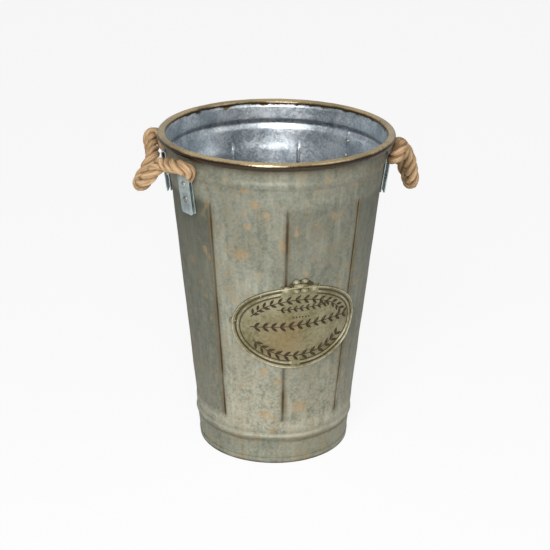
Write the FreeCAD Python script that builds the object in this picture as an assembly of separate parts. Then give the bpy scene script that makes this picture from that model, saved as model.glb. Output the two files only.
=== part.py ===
"""Florist bucket: a tapered bucket of galvanised sheet with a rolled rim, a pressed plaque and rope handles.

Millimetres. The origin is the middle of the base, on the surface that the bucket stands on. +Z is up and the
plaque faces -Y. An azimuth is measured round +Z from -Y towards +X.
"""
import FreeCAD
import Part
import math
import os

from FreeCAD import Vector

# Driving dimensions of the sheet body.
HEIGHT = 380.0
SHEET = 0.8
BASE_RADIUS = 88.4
WALL_SLOPE = 36.9 / 370.4
RIM_BEAD_RADIUS = 4.8
RIM_CURL_END = 222.0
RIM_WIRE_PLAY = 0.1

# Pressed swages, which run round the wall: height of the middle, half height, and how far they stand out.
UPPER_SWAGE = (351.4, 7.0, 2.0)
LOWER_SWAGE = (35.0, 4.0, 1.5)

# Pressed creases, which run up the wall.
FIRST_CREASE = -51.4
FRONT_PANEL = 43.25
CREASE_COUNT = 9
CREASE_Z = (51.0, 325.5)
CREASE_FADE = 14.0
CREASE_HALF_WIDTH = 2.4
CREASE_DEPTH = 1.7

# Base: the floor of the bucket and the folded ring round the lower edge.
SEAM_HEIGHT = 7.0
FLOOR_Z = 9.0
FLOOR_STEP_RADIUS = 58.0
FLOOR_STEP = 2.0

# Lapped joint of the wall.
LAP_AZIMUTH = 123.5
LAP_WIDTH = 9.0
LAP_THICKNESS = 1.0
LAP_Z = (12.0, 368.0)

# Oval plaque.
PLAQUE_Z = 180.0
PLAQUE_HALF_WIDTH = 79.0
PLAQUE_HALF_HEIGHT = 52.0
PLAQUE_CREST_TOP = 240.0
PLAQUE_CREST_HALF_WIDTH = 21.0
PLAQUE_BUMP_RADIUS = 5.0
PLAQUE_GAP = 0.1
PLAQUE_SHEET = 0.8
FRAME_RAISE = 0.8
FRAME_WIDTH = 7.5
PIN_RADIUS = 1.3
PIN_HEAD = 0.7
PIN_PLACES = ((-42.0, 220.0), (-72.0, 186.0), (-31.0, 140.0), (49.0, 219.0), (72.0, 178.0), (33.0, 140.0))

# Folded straps, two for each handle, and their rivets.
STRAP_WIDTH = 20.0
STRAP_SHEET = 1.2
STRAP_GAP = 3.0
STRAP_TOP_Z = 350.4
STRAP_LENGTH = 45.6
STRAP_STANDOFF = 2.05
STRAP_LEAN = 2.1
RIVET_DOWN = (10.6, 28.2)
RIVET_HEAD_RADIUS = 3.6
RIVET_HEAD_HEIGHT = 1.7
RIVET_SHANK_RADIUS = 2.0
RIVET_DIMPLE_RADIUS = 1.1
RIVET_TAIL_RADIUS = 3.0
RIVET_TAIL = (-4.8, -2.6)

# Straps: name, azimuth, and the side of its outer edge, which the rope turns round.
STRAPS = {
    "left_front": (-65.7, 1),
    "left_rear": (-107.7, -1),
    "right_front": (79.6, -1),
    "right_rear": (121.6, 1),
}

# Rope. A rope's route has three stretches: an end at the front strap, the swinging handle, and an end at the rear.
ROPE_RADIUS = 7.0
PIVOT_CLEARANCE = 1.5

# Where the rope crosses each strap: out from the strap's back, along its width to the outer edge, and up.
TIGHT_WRAP = ((12.5, -12.0, 4.0), (12.5, 12.0, 4.0))
LOOSE_WRAP = ((13.9, -12.0, 5.0), (18.5, 6.0, 9.5), (21.0, 24.0, 17.0), (10.0, 33.0, 9.0), (4.6, 20.0, 0.0))
WRAPS = {
    "left_front": TIGHT_WRAP,
    "left_rear": LOOSE_WRAP,
    "right_front": LOOSE_WRAP,
    "right_rear": TIGHT_WRAP,
}

# The flattened end between the leaves of a strap, in the same terms.
TONGUE_THICKNESS = 2.8
TONGUE_START = -5.0
TONGUE_END = {TIGHT_WRAP: 10.4, LOOSE_WRAP: 18.0}
TONGUE_UP = (-9.0, -0.5)
FOLD_TOP = 3.0

# Inner points of the two swinging handles, in the part's own frame.
HANDLE_POINTS = {
    "left": ((-136.5, -27.0, 353.5), (-157.0, -20.0, 330.0), (-158.0, 9.0, 328.0), (-140.5, 18.5, 350.0)),
    "right": ((153.0, 22.0, 340.0), (161.5, 14.0, 312.0), (161.5, 44.0, 306.0), (140.0, 56.0, 341.0)),
}


def wall_radius(z):
    """Outer radius of the plain taper at height z."""
    return BASE_RADIUS + WALL_SLOPE * z


def outward(azimuth):
    """Level unit vector that points away from the axis at an azimuth."""
    angle = math.radians(azimuth)
    return Vector(math.sin(angle), -math.cos(angle), 0)


def turned(shape, azimuth):
    """A copy of a shape that was made at azimuth 90, turned to another azimuth."""
    copy = shape.copy()
    copy.rotate(Vector(0, 0, 0), Vector(0, 0, 1), azimuth - 90)
    return copy


def polygon(points):
    """Closed flat face through the points."""
    return Part.Face(Part.makePolygon(list(points) + [points[0]]))


def spun(edges, start=0.0, sweep=360.0):
    """Solid of a closed outline in the XZ plane, turned round Z from an azimuth."""
    face = Part.Face(Part.Wire(edges))
    return turned(face, start).revolve(Vector(0, 0, 0), Vector(0, 0, 1), sweep)


def joined(points):
    """Straight edges through the points, left open."""
    pairs = zip(points, points[1:])
    return [Part.LineSegment(a, b).toShape() for a, b in pairs]


def wall_side(offset, low, high):
    """Edges up the wall from height low to high, with both swages, moved out by offset."""
    edges = []
    start = Vector(wall_radius(low) + offset, 0, low)
    for middle, half, bulge in (LOWER_SWAGE, UPPER_SWAGE):
        foot, crest, head = (
            Vector(wall_radius(z) + offset + out, 0, z)
            for z, out in ((middle - half, 0), (middle, bulge), (middle + half, 0))
        )
        edges.append(Part.LineSegment(start, foot).toShape())
        edges.append(Part.Arc(foot, crest, head).toShape())
        start = head
    edges.append(Part.LineSegment(start, Vector(wall_radius(high) + offset, 0, high)).toShape())
    return edges


def wall_band(outer, inner, low, high, start=0.0, sweep=360.0):
    """Sheet between two offsets of the wall's outer side."""
    outside = wall_side(outer, low, high)
    inside = wall_side(inner, low, high)
    ends = [
        Part.LineSegment(Vector(wall_radius(z) + outer, 0, z), Vector(wall_radius(z) + inner, 0, z)).toShape()
        for z in (low, high)
    ]
    return spun(Part.__sortEdges__(outside + inside + ends), start, sweep)


def crease_wedge(azimuth, foot, tip):
    """Long thin wedge up the wall: foot is its open side and tip its ridge, as distances out from the wall."""
    low, high = CREASE_Z
    sections = []
    for z, share in ((low, 0.05), (low + CREASE_FADE, 1.0), (high - CREASE_FADE, 1.0), (high, 0.05)):
        r = wall_radius(z)
        half = CREASE_HALF_WIDTH * share
        ridge = foot + (tip - foot) * share
        corners = [Vector(r + foot, -half, z), Vector(r + foot, half, z), Vector(r + ridge, 0, z)]
        sections.append(Part.makePolygon(corners + [corners[0]]))
    return turned(Part.makeLoft(sections, True, True), azimuth)


def crease_azimuths():
    """Azimuths of the creases: two wide panels at the front, and the rest evenly spaced."""
    rest = (360 - 2 * FRONT_PANEL) / (CREASE_COUNT - 2)
    front = [FIRST_CREASE, FIRST_CREASE + FRONT_PANEL]
    return front + [FIRST_CREASE + 2 * FRONT_PANEL + k * rest for k in range(CREASE_COUNT - 2)]


def bucket_wall():
    """Tapered wall with its swages and creases."""
    wall = wall_band(0, -SHEET, SHEET, rim_centre().z)
    angles = crease_azimuths()
    ridges = [crease_wedge(a, -SHEET / 2, -SHEET - CREASE_DEPTH) for a in angles]
    grooves = [crease_wedge(a, SHEET, -CREASE_DEPTH) for a in angles]
    return wall.fuse(ridges).cut(grooves)


def lap_strip():
    """Inner lap of the wall's vertical joint."""
    sweep = math.degrees(LAP_WIDTH / wall_radius(HEIGHT / 2))
    low, high = LAP_Z
    return wall_band(-SHEET, -SHEET - LAP_THICKNESS, low, high, LAP_AZIMUTH - sweep / 2, sweep)


def base_ring():
    """Folded ring that grips the wall's lower edge and the floor's flange, and is the foot of the bucket."""
    grip = 2 * SHEET
    corners = [(SHEET, 0), (SHEET, SEAM_HEIGHT), (0, SEAM_HEIGHT), (0, SHEET), (-grip, SHEET)]
    corners += [(-grip, SEAM_HEIGHT), (-grip - SHEET, SEAM_HEIGHT), (-grip - SHEET, 0)]
    points = [Vector(wall_radius(z) + out, 0, z) for out, z in corners]
    return spun(joined(points + [points[0]]))


def bottom_disc():
    """Floor with a raised middle and a flange that runs down inside the wall."""
    under = FLOOR_Z - SHEET
    step_out = FLOOR_STEP_RADIUS + FLOOR_STEP
    points = [
        Vector(wall_radius(SHEET) - SHEET, 0, SHEET),
        Vector(wall_radius(FLOOR_Z) - SHEET, 0, FLOOR_Z),
        Vector(step_out, 0, FLOOR_Z),
        Vector(FLOOR_STEP_RADIUS, 0, FLOOR_Z + FLOOR_STEP),
        Vector(0, 0, FLOOR_Z + FLOOR_STEP),
        Vector(0, 0, under + FLOOR_STEP),
        Vector(FLOOR_STEP_RADIUS, 0, under + FLOOR_STEP),
        Vector(step_out, 0, under),
        Vector(wall_radius(under) - 2 * SHEET, 0, under),
        Vector(wall_radius(SHEET) - 2 * SHEET, 0, SHEET),
    ]
    return spun(joined(points + [points[0]]))


def rim_centre():
    """Middle of the rolled rim's round section, at azimuth 90."""
    z = HEIGHT - RIM_BEAD_RADIUS
    return Vector(wall_radius(z) + RIM_BEAD_RADIUS - SHEET, 0, z)


def on_bead(radius, angle):
    """Point of the rim's section at a radius and an angle from +X."""
    turn = math.radians(angle)
    return rim_centre() + Vector(radius * math.cos(turn), 0, radius * math.sin(turn))


def rim_roll():
    """Sheet curled outwards from the wall's top over the wire, open at its lower inner side."""
    end = RIM_CURL_END - 360
    middle = (180 + end) / 2
    inner = RIM_BEAD_RADIUS - SHEET
    edges = [
        Part.Arc(*(on_bead(RIM_BEAD_RADIUS, a) for a in (180, middle, end))).toShape(),
        Part.LineSegment(on_bead(RIM_BEAD_RADIUS, end), on_bead(inner, end)).toShape(),
        Part.Arc(*(on_bead(inner, a) for a in (end, middle, 180))).toShape(),
        Part.LineSegment(on_bead(inner, 180), on_bead(RIM_BEAD_RADIUS, 180)).toShape(),
    ]
    return spun(edges)


def rim_wire():
    """Stiffening wire inside the rolled rim."""
    centre = rim_centre()
    return Part.makeTorus(centre.x, RIM_BEAD_RADIUS - SHEET - RIM_WIRE_PLAY, Vector(0, 0, centre.z))


def plaque_point(along, z):
    """Point of the plaque's outline: along is the distance round the wall, laid flat on the XZ plane."""
    r = wall_radius(PLAQUE_Z)
    return Vector(r * math.sin(along / r), 0, z)


def oval_prism(inset):
    """Prism of the plaque's oval, through the front of the wall."""
    points = []
    for step in range(36):
        angle = math.radians(step * 10)
        along = (PLAQUE_HALF_WIDTH - inset) * math.cos(angle)
        z = PLAQUE_Z + (PLAQUE_HALF_HEIGHT - inset) * math.sin(angle)
        points.append(plaque_point(along, z))
    curve = Part.BSplineCurve()
    curve.interpolate(Points=points, PeriodicFlag=True)
    face = Part.Face(Part.Wire(curve.toShape()))
    return face.extrude(Vector(0, -2 * BASE_RADIUS, 0))


def crest_prism():
    """Prism of the crest on top of the oval: a block with two round shoulders."""
    low = PLAQUE_Z + PLAQUE_HALF_HEIGHT * 0.8
    half = PLAQUE_CREST_HALF_WIDTH
    shoulder = PLAQUE_CREST_TOP - PLAQUE_Z - PLAQUE_HALF_HEIGHT
    corners = [(-half, low), (half, low), (half, PLAQUE_CREST_TOP - shoulder), (half / 2, PLAQUE_CREST_TOP)]
    corners += [(-half / 2, PLAQUE_CREST_TOP), (-half, PLAQUE_CREST_TOP - shoulder)]
    face = polygon([plaque_point(along, z) for along, z in corners])
    return face.extrude(Vector(0, -2 * BASE_RADIUS, 0))


def bump_prism(side):
    """Prism of the round bump at one tip of the oval."""
    centre = plaque_point(side * (PLAQUE_HALF_WIDTH - 1), PLAQUE_Z)
    return Part.makeCylinder(PLAQUE_BUMP_RADIUS, 2 * BASE_RADIUS, centre, Vector(0, -1, 0))


def plaque_band(inner, outer):
    """Sheet over the plain taper in the height of the plaque."""
    low, high = PLAQUE_Z - 2 * PLAQUE_HALF_HEIGHT, PLAQUE_Z + 2 * PLAQUE_HALF_HEIGHT
    corners = [(outer, low), (outer, high), (inner, high), (inner, low)]
    points = [Vector(wall_radius(z) + out, 0, z) for out, z in corners]
    return spun(joined(points + [points[0]]))


def oval_plaque():
    """Thin plate on the wall with a raised frame, a crest and a bump at each tip."""
    outline = oval_prism(0).fuse([crest_prism(), bump_prism(-1), bump_prism(1)])
    top = PLAQUE_GAP + PLAQUE_SHEET
    plate = plaque_band(PLAQUE_GAP, top).common(outline)
    frame = plaque_band(top - SHEET / 4, top + FRAME_RAISE).common(outline.cut(oval_prism(FRAME_WIDTH)))
    return plate.fuse(frame).removeSplitter()


def plaque_pins():
    """Round-headed pins that hold the plaque."""
    pins = []
    for along, z in PIN_PLACES:
        azimuth = math.degrees(along / wall_radius(PLAQUE_Z))
        out = outward(azimuth)
        foot = out * (wall_radius(z) - SHEET) + Vector(0, 0, z)
        length = SHEET + PLAQUE_GAP + PLAQUE_SHEET + FRAME_RAISE
        shank = Part.makeCylinder(PIN_RADIUS / 2, length, foot, out)
        head = Part.makeCylinder(PIN_RADIUS, PIN_HEAD, foot + out * length, out)
        pins.append(shank.fuse(head))
    return Part.makeCompound(pins)


def strap_frame(name):
    """Placement of a strap's own frame: X out of the wall, Y along its width to its outer edge, Z up."""
    azimuth, _ = STRAPS[name]
    lean = math.degrees(math.atan(WALL_SLOPE)) + STRAP_LEAN
    turn = FreeCAD.Rotation(Vector(0, 0, 1), azimuth - 90)
    tilt = FreeCAD.Rotation(Vector(0, 1, 0), lean)
    place = outward(azimuth) * (wall_radius(STRAP_TOP_Z) + STRAP_STANDOFF) + Vector(0, 0, STRAP_TOP_Z)
    return FreeCAD.Placement(place, turn.multiply(tilt))


def at_strap(name, point):
    """A point of a strap's own frame, in the part's frame."""
    _, side = STRAPS[name]
    out, along, up = point
    return strap_frame(name).multVec(Vector(out, side * along, up))


def strap(name):
    """Hairpin of sheet: two leaves and the bend over the top."""
    middle = STRAP_SHEET + STRAP_GAP / 2
    depth = 2 * STRAP_SHEET + STRAP_GAP
    low = -STRAP_LENGTH

    def flat(x, z):
        return Vector(x, -STRAP_WIDTH / 2, z)

    edges = joined([flat(0, 0), flat(0, low), flat(STRAP_SHEET, low), flat(STRAP_SHEET, 0)])
    edges.append(Part.Arc(flat(STRAP_SHEET, 0), flat(middle, STRAP_GAP / 2), flat(depth - STRAP_SHEET, 0)).toShape())
    edges += joined([flat(depth - STRAP_SHEET, 0), flat(depth - STRAP_SHEET, low), flat(depth, low), flat(depth, 0)])
    edges.append(Part.Arc(flat(depth, 0), flat(middle, depth / 2), flat(0, 0)).toShape())
    leaf = Part.Face(Part.Wire(edges)).extrude(Vector(0, STRAP_WIDTH, 0))
    leaf.Placement = strap_frame(name)
    return leaf


def rivets(name):
    """Two blind rivets through a strap and the wall."""
    face = 2 * STRAP_SHEET + STRAP_GAP
    shapes = []
    for down in RIVET_DOWN:
        sphere_radius = (RIVET_HEAD_RADIUS**2 + RIVET_HEAD_HEIGHT**2) / (2 * RIVET_HEAD_HEIGHT)
        ball = Part.makeSphere(sphere_radius, Vector(face + RIVET_HEAD_HEIGHT - sphere_radius, 0, -down))
        keep = Part.makeCylinder(RIVET_HEAD_RADIUS * 2, RIVET_HEAD_HEIGHT * 2, Vector(face, 0, -down), Vector(1, 0, 0))
        dimple = Part.makeCylinder(RIVET_DIMPLE_RADIUS, 1.0, Vector(face + 1.0, 0, -down), Vector(1, 0, 0))
        foot, tail_top = RIVET_TAIL
        shank = Part.makeCylinder(RIVET_SHANK_RADIUS, face - foot, Vector(foot, 0, -down), Vector(1, 0, 0))
        tail = Part.makeCylinder(RIVET_TAIL_RADIUS, tail_top - foot, Vector(foot, 0, -down), Vector(1, 0, 0))
        shapes.append(ball.common(keep).cut(dimple).fuse([shank, tail]).removeSplitter())
    group = Part.makeCompound(shapes)
    group.Placement = strap_frame(name)
    return group


def tube(points, radius):
    """Round bar along straight runs that tangent arcs join, each arc as large as its two runs allow."""
    edges, radii, start = [], [], points[0]
    for before, corner, after in zip(points, points[1:], points[2:]):
        back, ahead = before - corner, after - corner
        reach = 0.45 * min(back.Length, ahead.Length)
        half_turn = (math.pi - back.getAngle(ahead)) / 2
        arc_radius = reach / math.tan(half_turn)
        back, ahead = back.normalize(), ahead.normalize()
        middle = (back + ahead).normalize()
        arc_in, arc_out = corner + back * reach, corner + ahead * reach
        crown = corner + middle * (arc_radius / math.cos(half_turn) - arc_radius)
        edges.append(Part.LineSegment(start, arc_in).toShape())
        edges.append(Part.Arc(arc_in, crown, arc_out).toShape())
        radii.append(round(arc_radius, 1))
        start = arc_out
    edges.append(Part.LineSegment(start, points[-1]).toShape())
    path = Part.Wire(edges)
    ring = Part.Wire(Part.Circle(points[0], points[1] - points[0], radius).toShape())
    bar = path.makePipeShell([ring], True, False)
    length = sum(e.Length for e in edges)
    print(f"  tube: length {length:.1f}, radii {radii}, volume ratio {bar.Volume / (math.pi * radius**2 * length):.4f}")
    return bar


def tongue(name):
    """Flattened end of the rope, between the leaves and just past the strap's outer edge."""
    _, side = STRAPS[name]
    low, high = TONGUE_UP
    ends = sorted((side * TONGUE_START, side * TONGUE_END[WRAPS[name]]))
    back = STRAP_SHEET + (STRAP_GAP - TONGUE_THICKNESS) / 2
    return Part.makeBox(TONGUE_THICKNESS, ends[1] - ends[0], high - low, Vector(back, ends[0], low))


def fold(name):
    """Half turn of the flattened rope round the strap's outer edge."""
    _, side = STRAPS[name]
    low = TONGUE_UP[0]
    edge = side * TONGUE_END[TIGHT_WRAP]
    near = STRAP_SHEET + (STRAP_GAP + TONGUE_THICKNESS) / 2
    middle = (near - TONGUE_THICKNESS / 2 + TIGHT_WRAP[0][0]) / 2
    height = FOLD_TOP - low
    axis = Vector(middle, edge, low)
    inner = middle - near
    outer = inner + TONGUE_THICKNESS
    ring = Part.makeCylinder(outer, height, axis).cut(Part.makeCylinder(inner, height, axis))
    corner = Vector(middle - outer, min(edge, edge + side * outer), low)
    return ring.common(Part.makeBox(2 * outer, outer, height, corner))


def rope_end(name, rivet_pair):
    """Fixed end of a rope: over the strap, round its outer edge, and flattened between its leaves."""
    route = [at_strap(name, p) for p in WRAPS[name]]
    flat = tongue(name)
    if WRAPS[name] is TIGHT_WRAP:
        flat = flat.fuse(fold(name))
    flat.Placement = strap_frame(name)
    room = Part.makeSphere(ROPE_RADIUS + PIVOT_CLEARANCE, route[0])
    whole = tube(route, ROPE_RADIUS).fuse(flat).cut([room, rivet_pair])
    return max(whole.Solids, key=lambda solid: solid.Volume)


def pivot(name):
    """Point where a rope leaves its strap, which the handle swings about."""
    return at_strap(name, WRAPS[name][0])


def rope_handle(side):
    """Swinging stretch of a rope, round at both ends."""
    ends = [pivot(f"{side}_front"), pivot(f"{side}_rear")]
    route = [ends[0]] + [Vector(*p) for p in HANDLE_POINTS[side]] + [ends[1]]
    bar = tube(route, ROPE_RADIUS)
    return bar.fuse([Part.makeSphere(ROPE_RADIUS, end) for end in ends])


def save(name, shape):
    """Write one node and say whether it is sound."""
    solids = len(shape.Solids)
    print(f"{name}: solids {solids}, valid {shape.isValid()}, volume {shape.Volume:.0f}")
    shape.exportStep(f"parts/{name}.step")


def main():
    os.makedirs("parts", exist_ok=True)
    straps = {name: strap(name) for name in STRAPS}
    strap_rivets = {name: rivets(name) for name in STRAPS}
    pins = plaque_pins()
    drilled = list(strap_rivets.values())

    save("bucket_wall", bucket_wall().cut(drilled + [pins]))
    save("wall_lap_strip", lap_strip().cut(drilled))
    save("bottom_disc", bottom_disc())
    save("base_seam_ring", base_ring())
    save("rim_roll", rim_roll())
    save("rim_wire", rim_wire())
    save("oval_plaque", oval_plaque().cut(pins))
    save("plaque_pins", pins)
    for name in STRAPS:
        save(f"{name}_strap", straps[name].cut(strap_rivets[name]))
        save(f"{name}_rivets", strap_rivets[name])
        save(f"{name}_rope_end", rope_end(name, strap_rivets[name]))
    for side in ("left", "right"):
        save(f"{side}_rope_handle", rope_handle(side))
        front, rear = pivot(f"{side}_front"), pivot(f"{side}_rear")
        axis = (rear - front).normalize()
        print(f"{side} hinge at {tuple(round(v, 2) for v in front)}, axis {tuple(round(v, 5) for v in axis)}")


main()
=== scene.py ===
"""Florist bucket: the looks of a patinated zinc bucket with rope handles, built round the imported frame.

Metres, in the frame's own axes: +Z is up, the origin is the middle of the foot, and the plaque faces -Y.
An azimuth is measured round +Z from -Y towards +X, in degrees.
"""
import logging
import math
import random
from dataclasses import dataclass
from enum import Enum
from typing import Callable, Mapping, Sequence

import bmesh
import bpy
from mathutils import Matrix, Vector, noise


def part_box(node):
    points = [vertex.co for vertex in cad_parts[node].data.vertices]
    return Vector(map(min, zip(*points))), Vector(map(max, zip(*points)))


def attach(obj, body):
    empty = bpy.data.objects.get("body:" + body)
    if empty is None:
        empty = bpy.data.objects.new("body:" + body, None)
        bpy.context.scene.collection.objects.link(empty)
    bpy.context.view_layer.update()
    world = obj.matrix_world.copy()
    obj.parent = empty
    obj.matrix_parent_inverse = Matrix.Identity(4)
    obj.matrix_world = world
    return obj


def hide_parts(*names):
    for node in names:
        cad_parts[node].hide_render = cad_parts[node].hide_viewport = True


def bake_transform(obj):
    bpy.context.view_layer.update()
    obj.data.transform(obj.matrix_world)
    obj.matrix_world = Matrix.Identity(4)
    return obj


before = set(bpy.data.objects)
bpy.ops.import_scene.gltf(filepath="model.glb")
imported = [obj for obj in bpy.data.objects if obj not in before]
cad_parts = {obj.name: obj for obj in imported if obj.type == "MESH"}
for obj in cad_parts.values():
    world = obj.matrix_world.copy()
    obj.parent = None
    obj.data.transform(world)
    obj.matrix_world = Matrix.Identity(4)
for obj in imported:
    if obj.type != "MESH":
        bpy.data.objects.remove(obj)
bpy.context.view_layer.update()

LOG = logging.getLogger("florist_bucket")
SHEET = 0.0008
FULL_TURN = 2 * math.pi
Colour = tuple[float, float, float, float]
Place = Sequence[float]


def tone(red: int, green: int, blue: int) -> Colour:
    """Linear colour of a screen colour given in 0 to 255."""
    shares = (channel / 255 for channel in (red, green, blue))
    return (*(s / 12.92 if s <= 0.04045 else ((s + 0.055) / 1.055) ** 2.4 for s in shares), 1.0)


def eased(value: float, low: float, high: float) -> float:
    """Smooth step from 0 at low to 1 at high."""
    share = min(max((value - low) / (high - low), 0.0), 1.0)
    return share * share * (3 - 2 * share)


def hump(offset: float, half: float) -> float:
    """Round hump that is 1 at offset 0 and 0 from half outwards."""
    return math.cos(min(abs(offset) / half, 1.0) * math.pi / 2) ** 2


def outward(azimuth: float) -> Vector:
    """Level unit vector away from the axis at an azimuth in degrees."""
    angle = math.radians(azimuth)
    return Vector((math.sin(angle), -math.cos(angle), 0))


# ----------------------------------------------------------------------------------- shader graphs


class Wire:
    """A value in a node tree. Python's operators on it add Math nodes."""

    def __init__(self, graph: "Graph", socket: bpy.types.NodeSocket) -> None:
        """Keeps the socket and the graph that it belongs to."""
        self.graph = graph
        self.socket = socket

    def maths(self, operation: str, *terms: "Wire | float") -> "Wire":
        """Adds one Math node over the terms."""
        return self.graph.node("ShaderNodeMath", {"operation": operation}, dict(enumerate(terms)))

    def __add__(self, other: "Wire | float") -> "Wire":
        """Sum."""
        return self.maths("ADD", self, other)

    def __sub__(self, other: "Wire | float") -> "Wire":
        """Difference."""
        return self.maths("SUBTRACT", self, other)

    def __rsub__(self, other: float) -> "Wire":
        """Difference from a number."""
        return self.maths("SUBTRACT", other, self)

    def __mul__(self, other: "Wire | float") -> "Wire":
        """Product."""
        return self.maths("MULTIPLY", self, other)

    def __truediv__(self, other: "Wire | float") -> "Wire":
        """Quotient."""
        return self.maths("DIVIDE", self, other)

    def __abs__(self) -> "Wire":
        """Size without its sign."""
        return self.maths("ABSOLUTE", self)

    __radd__ = __add__
    __rmul__ = __mul__

    def over(self, other: "Wire | float") -> "Wire":
        """The larger of the two."""
        return self.maths("MAXIMUM", self, other)

    def step(self, low: float, high: float) -> "Wire":
        """Smooth step from 0 at low to 1 at high; it falls where low is above high."""
        settings = {"interpolation_type": "SMOOTHSTEP"}
        if low <= high:
            return self.graph.node("ShaderNodeMapRange", settings, {0: self, 1: low, 2: high})
        return 1 - self.graph.node("ShaderNodeMapRange", settings, {0: self, 1: high, 2: low})

    def band(self, middle: float, half: float, core: float) -> "Wire":
        """1 near a middle value, falling to 0 at half; core is the share of half that stays 1."""
        return 1 - (abs(self - middle) / half).step(core, 1)


class Graph:
    """A node tree, and the few kinds of node that every finish uses."""

    def __init__(self, tree: bpy.types.NodeTree) -> None:
        """Starts from an empty tree."""
        tree.nodes.clear()
        self.tree = tree

    def node(self, kind: str, settings: Mapping[str, object] | None = None,
             inputs: Mapping[str | int, object] | None = None,
             output: str | int | None = 0) -> Wire | None:
        """Adds a node.

        Args:
            kind: the node's type.
            settings: properties, set before the sockets.
            inputs: socket name or number to a wire or a plain value.
            output: the output that is wanted, or None.

        Returns:
            The output as a wire, or None.
        """
        made = self.tree.nodes.new(kind)
        for name, value in (settings or {}).items():
            setattr(made, name, value)
        for name, value in (inputs or {}).items():
            if isinstance(value, Wire):
                self.tree.links.new(value.socket, made.inputs[name])
            else:
                made.inputs[name].default_value = value
        return None if output is None else Wire(self, made.outputs[output])

    def place(self, stretch: Place = (1, 1, 1), turn: Place = (0, 0, 0)) -> Wire:
        """Object coordinates, stretched and turned."""
        coords = self.node("ShaderNodeTexCoord", output="Object")
        return self.node("ShaderNodeMapping", None, {"Vector": coords, "Scale": stretch, "Rotation": turn})

    def grain(self, scale: float, detail: float = 3, at: Wire | None = None, rough: float = 0.55) -> Wire:
        """Cloudy noise from 0 to 1."""
        inputs = {"Vector": at or self.place(), "Scale": scale, "Detail": detail, "Roughness": rough}
        return self.node("ShaderNodeTexNoise", None, inputs)

    def cells(self, scale: float, at: Wire | None = None) -> Wire:
        """One random value for each crystal of the zinc, from 0 to 1."""
        inputs = {"Vector": at or self.place(), "Scale": scale}
        tints = self.node("ShaderNodeTexVoronoi", None, inputs, "Color")
        return self.node("ShaderNodeSeparateColor", None, {0: tints})

    def blend(self, low: object, high: object, share: "Wire | float") -> Wire:
        """Mixes two colours."""
        return self.node("ShaderNodeMix", {"data_type": "RGBA"}, {0: share, 6: low, 7: high}, 2)

    def height(self) -> Wire:
        """Height above the foot, in metres."""
        return self.node("ShaderNodeSeparateXYZ", None, {0: self.place()}, 2)

    def painted(self, name: str) -> Wire:
        """A value that the mesh carries."""
        return self.node("ShaderNodeAttribute", {"attribute_name": name}, None, "Fac")

    def near(self, centre: Place, reach: float) -> Wire:
        """1 at a place, falling to 0 at reach."""
        ends = {0: self.place(), 1: centre}
        return 1 - self.node("ShaderNodeVectorMath", {"operation": "DISTANCE"}, ends, "Value") / reach

    def bump(self, height: Wire, depth: float, strength: float = 1.0) -> Wire:
        """Normal of a surface that stands out by height times depth, in metres."""
        inputs = {"Height": height, "Distance": depth, "Strength": strength}
        return self.node("ShaderNodeBump", None, inputs)

    def surface(self, **inputs: object) -> None:
        """Ends a material in one principled surface; underscores in a socket's name stand for blanks."""
        sockets = {name.replace("_", " "): value for name, value in inputs.items()}
        self.end("ShaderNodeOutputMaterial", self.node("ShaderNodeBsdfPrincipled", None, sockets))

    def end(self, kind: str, shader: Wire) -> None:
        """Links a shader to the tree's output node."""
        self.node(kind, None, {"Surface": shader}, None)


def fresh_material(name: str) -> tuple[bpy.types.Material, Graph]:
    """A new material and its empty graph."""
    material = bpy.data.materials.new(name)
    material.use_nodes = True
    return material, Graph(material.node_tree)


# ---------------------------------------------------------------------------------------- finishes


@dataclass(frozen=True)
class Stain:
    """A patch of rust: azimuth, height and reach."""

    azimuth: float
    height: float
    reach: float


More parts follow.
